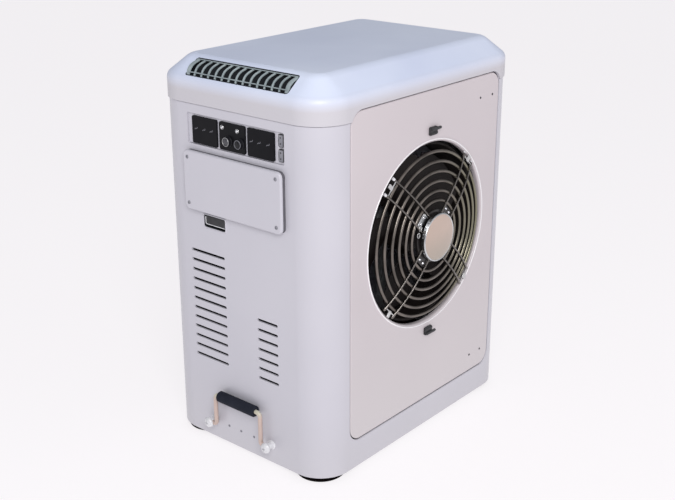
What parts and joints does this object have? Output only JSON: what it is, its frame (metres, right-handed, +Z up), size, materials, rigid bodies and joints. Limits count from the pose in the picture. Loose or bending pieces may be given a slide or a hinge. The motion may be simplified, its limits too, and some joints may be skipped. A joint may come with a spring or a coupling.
{
  "type": "heat pump unit",
  "caption": "Upright rounded cabinet with a domed fan guard on a hinged door, a control strip, a service cover, side louvres, a fold-out handle and round feet.",
  "frame": {"origin": "centre of the bounding box in plan, on the floor under the feet", "axes": "+Z up, the fan door faces -Y and the control side faces -X"},
  "size_m": [0.76, 0.514, 0.88],
  "materials": {
    "cabinet_white": "satin",
    "control_black": "satin",
    "black_plastic": "matte",
    "fan_black": "satin",
    "bright_wire": "polished",
    "badge_beige": "gloss",
    "zinc_steel": "satin",
    "cream_rod": "gloss",
    "grip_foam": "matte",
    "rubber": "matte",
    "copper": "satin",
    "coil_aluminium": "satin"
  },
  "bodies": {
    "cabinet": {"accumulator": "fan_black", "base_pan": "zinc_steel", "cabinet_shell": "cabinet_white", "cable_gland": "black_plastic", "cap": "cabinet_white", "cap_grille": "zinc_steel", "catch_pocket": "bright_wire", "compressor": "fan_black", "control_box": "zinc_steel", "control_fascia": "cabinet_white", "cover_screw_bottom_left": "zinc_steel", "cover_screw_bottom_right": "zinc_steel", "cover_screw_top_left": "zinc_steel", "cover_screw_top_right": "zinc_steel", "discharge_line": "copper", "display_left": "control_black", "display_right": "control_black", "evaporator_coil": "coil_aluminium", "fan_bulkhead": "zinc_steel", "fan_deck": "zinc_steel", "fan_motor": "zinc_steel", "fan_shroud": "fan_black", "foot_front_left": "rubber", "foot_front_right": "rubber", "foot_rear_left": "rubber", "foot_rear_right": "rubber", "handle_boss_left": "zinc_steel", "handle_boss_right": "zinc_steel", "hinge_bracket_bottom": "zinc_steel", "hinge_bracket_top": "zinc_steel", "knob_panel": "control_black", "motor_bracket": "zinc_steel", "rear_grille": "black_plastic", "reversing_valve": "copper", "service_cover": "cabinet_white", "suction_line": "copper", "water_exchanger": "black_plastic", "water_inlet": "black_plastic", "water_outlet": "black_plastic"},
    "door": {"fan_door": "cabinet_white", "fan_guard": "bright_wire", "guard_hub_plate": "black_plastic", "hub_badge": "badge_beige", "latch_block_top": "black_plastic", "latch_block_bottom": "black_plastic", "hinge_leaf_top": "zinc_steel", "hinge_leaf_bottom": "zinc_steel"},
    "fan": {"fan_rotor": "fan_black"},
    "latch_top": {"guard_latch_top": "zinc_steel"},
    "latch_bottom": {"guard_latch_bottom": "zinc_steel"},
    "knob_left": {"knob_left": "control_black"},
    "knob_right": {"knob_right": "control_black"},
    "button_left": {"button_left": "bright_wire"},
    "button_right": {"button_right": "bright_wire"},
    "rocker_upper": {"rocker_upper": "zinc_steel"},
    "rocker_lower": {"rocker_lower": "zinc_steel"},
    "catch": {"catch_paddle": "control_black"},
    "handle": {"carry_handle": "cream_rod", "handle_grip": "grip_foam"}
  },
  "joints": [
    {"name": "fan_spin", "type": "hinge", "parent": "cabinet", "child": "fan", "pos_m": [-0.0015, -0.143, 0.485], "axis": [0, -1, 0], "continuous": true},
    {"name": "door_hinge", "type": "hinge", "parent": "cabinet", "child": "door", "pos_m": [0.2345, -0.216, 0.44], "axis": [0, 0, 1], "range_deg": [0, 95]},
    {"name": "latch_top_turn", "type": "hinge", "parent": "door", "child": "latch_top", "pos_m": [-0.003, -0.2288, 0.7227], "axis": [0, -1, 0], "range_deg": [0, 90]},
    {"name": "latch_bottom_turn", "type": "hinge", "parent": "door", "child": "latch_bottom", "pos_m": [-0.003, -0.2288, 0.2473], "axis": [0, 1, 0], "range_deg": [0, 90]},
    {"name": "knob_left_turn", "type": "hinge", "parent": "cabinet", "child": "knob_left", "pos_m": [-0.3533, 0.0295, 0.725], "axis": [-1, 0, 0], "range_deg": [-135, 135]},
    {"name": "knob_right_turn", "type": "hinge", "parent": "cabinet", "child": "knob_right", "pos_m": [-0.3533, -0.0045, 0.725], "axis": [-1, 0, 0], "range_deg": [-135, 135]},
    {"name": "button_left_press", "type": "slide", "parent": "cabinet", "child": "button_left", "axis": [1, 0, 0], "range_m": [0, 0.002], "stiffness_N_per_m": 400, "springref_m": -0.001},
    {"name": "button_right_press", "type": "slide", "parent": "cabinet", "child": "button_right", "axis": [1, 0, 0], "range_m": [0, 0.002], "stiffness_N_per_m": 400, "springref_m": -0.001},
    {"name": "rocker_upper_tilt", "type": "hinge", "parent": "cabinet", "child": "rocker_upper", "pos_m": [-0.3515, -0.1162, 0.751], "axis": [0, 1, 0], "range_deg": [-8, 8]},
    {"name": "rocker_lower_tilt", "type": "hinge", "parent": "cabinet", "child": "rocker_lower", "pos_m": [-0.3515, -0.1162, 0.7205], "axis": [0, 1, 0], "range_deg": [-8, 8]},
    {"name": "catch_press", "type": "hinge", "parent": "cabinet", "child": "catch", "pos_m": [-0.3485, 0.081, 0.5465], "axis": [0, -1, 0], "range_deg": [0, 25], "stiffness_Nm_per_rad": 0.05, "springref_deg": -8.59},
    {"name": "handle_fold", "type": "hinge", "parent": "cabinet", "child": "handle", "pos_m": [-0.3665, 0.018, 0.058], "axis": [0, -1, 0], "range_deg": [0, 90]}
  ]
}
